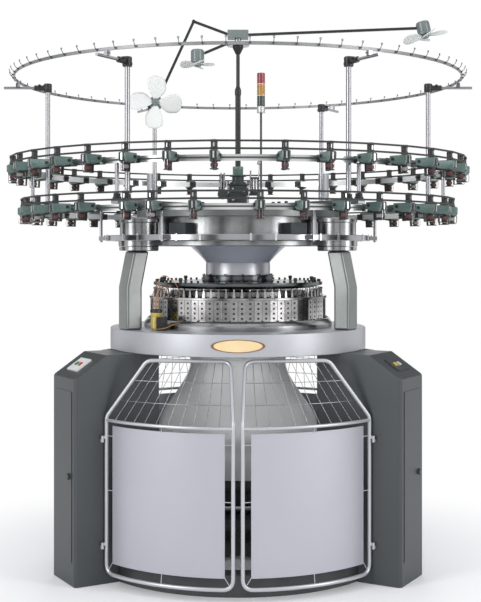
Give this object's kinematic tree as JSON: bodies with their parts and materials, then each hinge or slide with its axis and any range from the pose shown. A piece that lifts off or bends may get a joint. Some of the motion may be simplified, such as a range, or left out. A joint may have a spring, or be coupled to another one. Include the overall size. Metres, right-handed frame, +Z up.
{
  "type": "circular knitting machine",
  "caption": "Industrial circular knitting machine: round table on leg cabinets, hinged guard doors, cam ring, yarn feeder rings, creel ring and turning fans.",
  "frame": {"origin": "on the floor under the axis of the needle cylinder", "axes": "+Z up along the cylinder axis, -Y towards the front doors and the nameplate, +X to the right of the machine seen from the front"},
  "size_m": [2.6, 2.5184, 2.9753],
  "materials": {
    "cabinet_paint": "slate metallic paint, satin",
    "silver_paint": "pale silver paint, satin",
    "column_paint": "grey metallic paint",
    "cone_paint": "blue grey paint",
    "base_paint": "dark grey paint",
    "bright_steel": "turned and polished steel",
    "cam_steel": "ground steel",
    "chrome": "chrome plated",
    "black_metal": "black paint",
    "green_paint": "sage green enamel",
    "fan_paint": "grey green enamel",
    "fan_blade": "white moulding",
    "black_plastic": "black moulding",
    "belt_rubber": "matt black",
    "roller_rubber": "dark rubber",
    "lamp_lens": "tinted lenses",
    "plate_brass": "cream and gold enamel",
    "panel_plastic": "pale control plate",
    "button_green": "green key",
    "button_red": "red key",
    "button_grey": "grey key",
    "button_yellow": "yellow key",
    "oiler_plastic": "yellow cup",
    "knit_fabric": "white jersey"
  },
  "bodies": {
    "machine_frame": {"base_frame": "base_paint", "cabinet_left": "cabinet_paint", "cabinet_right": "cabinet_paint", "rear_leg": "cabinet_paint", "cabinet_covers": "cabinet_paint", "control_panels": "panel_plastic", "machine_table": "silver_paint", "nameplate": "plate_brass", "cylinder_bed": "bright_steel", "cam_boxes": "cam_steel", "guide_ring": "bright_steel", "yarn_guides": "bright_steel", "dial_cam_plate": "bright_steel", "dial_knobs": "black_plastic", "hub_ring": "black_metal", "dial_hub": "cone_paint", "platform": "column_paint", "top_plate": "column_paint", "columns": "column_paint", "rail_ring": "chrome", "rail_rods": "chrome", "ring_arms": "column_paint", "ring_posts": "chrome", "feeder_bars": "chrome", "yarn_feeders": "green_paint", "feeder_pulleys": "black_plastic", "feeder_belts": "belt_rubber", "creel_tees": "black_plastic", "creel_rods": "chrome", "creel_ring": "chrome", "gear_cases": "column_paint", "drive_motor": "green_paint", "drive_wheels": "black_metal", "fan_post": "black_metal", "signal_lamp": "lamp_lens", "oiler": "oiler_plastic", "door_hinges": "silver_paint"},
    "cylinder_body": {"gear_ring": "bright_steel", "needle_cylinder": "bright_steel", "takedown_frame": "cabinet_paint", "fabric_tube": "knit_fabric"},
    "dial_body": {"needle_dial": "bright_steel"},
    "front_roller_body": {"front_roller": "roller_rubber"},
    "rear_roller_body": {"rear_roller": "roller_rubber"},
    "winding_bar_body": {"winding_bar": "bright_steel"},
    "fan_carrier": {"fan_arms": "black_metal", "fan_motors": "fan_paint"},
    "long_fan_body": {"long_fan": "fan_blade"},
    "short_fan_body": {"short_fan": "fan_blade"},
    "right_fan_body": {"right_fan": "fan_blade"},
    "start_button_body": {"start_button": "button_green"},
    "stop_button_body": {"stop_button": "button_red"},
    "inch_button_body": {"inch_button": "button_yellow"},
    "reset_button_body": {"reset_button": "button_grey"},
    "front_door_right_body": {"front_door_right": "silver_paint"},
    "front_door_left_body": {"front_door_left": "silver_paint"},
    "rear_door_1_body": {"rear_door_1": "silver_paint"},
    "rear_door_2_body": {"rear_door_2": "silver_paint"},
    "rear_door_3_body": {"rear_door_3": "silver_paint"},
    "rear_door_4_body": {"rear_door_4": "silver_paint"}
  },
  "joints": [
    {"name": "cylinder_spin", "type": "hinge", "parent": "machine_frame", "child": "cylinder_body", "pos_m": [0, 0, 1.3], "axis": [0, 0, 1], "continuous": true},
    {"name": "dial_spin", "type": "hinge", "parent": "machine_frame", "child": "dial_body", "pos_m": [0, 0, 1.5], "axis": [0, 0, 1], "continuous": true},
    {"name": "front_roller_spin", "type": "hinge", "parent": "cylinder_body", "child": "front_roller_body", "pos_m": [0, -0.0361, 0.384], "axis": [1, 0, 0], "continuous": true},
    {"name": "rear_roller_spin", "type": "hinge", "parent": "cylinder_body", "child": "rear_roller_body", "pos_m": [0, 0.0361, 0.384], "axis": [1, 0, 0], "continuous": true},
    {"name": "winding_bar_spin", "type": "hinge", "parent": "cylinder_body", "child": "winding_bar_body", "pos_m": [0, 0, 0.262], "axis": [1, 0, 0], "continuous": true},
    {"name": "fan_turn", "type": "hinge", "parent": "machine_frame", "child": "fan_carrier", "pos_m": [0, 0, 2.86], "axis": [0, 0, 1], "continuous": true},
    {"name": "long_fan_spin", "type": "hinge", "parent": "fan_carrier", "child": "long_fan_body", "pos_m": [-0.455, -0.05, 2.51], "axis": [0, -1, 0], "continuous": true},
    {"name": "short_fan_spin", "type": "hinge", "parent": "fan_carrier", "child": "short_fan_body", "pos_m": [-0.225, 0, 2.72], "axis": [0, 0, -1], "continuous": true},
    {"name": "right_fan_spin", "type": "hinge", "parent": "fan_carrier", "child": "right_fan_body", "pos_m": [1.04108, 0, 2.87924], "axis": [0.2215, 0, -0.9751], "continuous": true},
    {"name": "front_door_right_swing", "type": "hinge", "parent": "machine_frame", "child": "front_door_right_body", "pos_m": [0.68421, -0.58717, 0.5], "axis": [0, 0, 1], "range_deg": [0, 95]},
    {"name": "front_door_left_swing", "type": "hinge", "parent": "machine_frame", "child": "front_door_left_body", "pos_m": [-0.68421, -0.58717, 0.5], "axis": [0, 0, -1], "range_deg": [0, 95]},
    {"name": "rear_door_1_swing", "type": "hinge", "parent": "machine_frame", "child": "rear_door_1_body", "pos_m": [0.1664, 0.88612, 0.5], "axis": [0, 0, 1], "range_deg": [0, 95]},
    {"name": "rear_door_2_swing", "type": "hinge", "parent": "machine_frame", "child": "rear_door_2_body", "pos_m": [0.85061, -0.29896, 0.5], "axis": [0, 0, -1], "range_deg": [0, 95]},
    {"name": "rear_door_3_swing", "type": "hinge", "parent": "machine_frame", "child": "rear_door_3_body", "pos_m": [-0.85061, -0.29896, 0.5], "axis": [0, 0, 1], "range_deg": [0, 95]},
    {"name": "rear_door_4_swing", "type": "hinge", "parent": "machine_frame", "child": "rear_door_4_body", "pos_m": [-0.1664, 0.88612, 0.5], "axis": [0, 0, -1], "range_deg": [0, 95]},
    {"name": "start_press", "type": "slide", "parent": "machine_frame", "child": "start_button_body", "axis": [0.4785, 0.2762, -0.8335], "range_m": [0, 0.003], "stiffness_N_per_m": 400, "springref_m": -0.002},
    {"name": "stop_press", "type": "slide", "parent": "machine_frame", "child": "stop_button_body", "axis": [0.4785, 0.2762, -0.8335], "range_m": [0, 0.003], "stiffness_N_per_m": 400, "springref_m": -0.002},
    {"name": "inch_press", "type": "slide", "parent": "machine_frame", "child": "inch_button_body", "axis": [-0.4785, 0.2762, -0.8335], "range_m": [0, 0.003], "stiffness_N_per_m": 400, "springref_m": -0.002},
    {"name": "reset_press", "type": "slide", "parent": "machine_frame", "child": "reset_button_body", "axis": [-0.4785, 0.2762, -0.8335], "range_m": [0, 0.003], "stiffness_N_per_m": 400, "springref_m": -0.002}
  ],
  "couplings": [
    {"joint": "dial_spin", "follows": "cylinder_spin", "ratio": 1},
    {"joint": "front_roller_spin", "follows": "cylinder_spin", "ratio": -0.2},
    {"joint": "rear_roller_spin", "follows": "cylinder_spin", "ratio": 0.2},
    {"joint": "winding_bar_spin", "follows": "cylinder_spin", "ratio": -0.35}
  ]
}
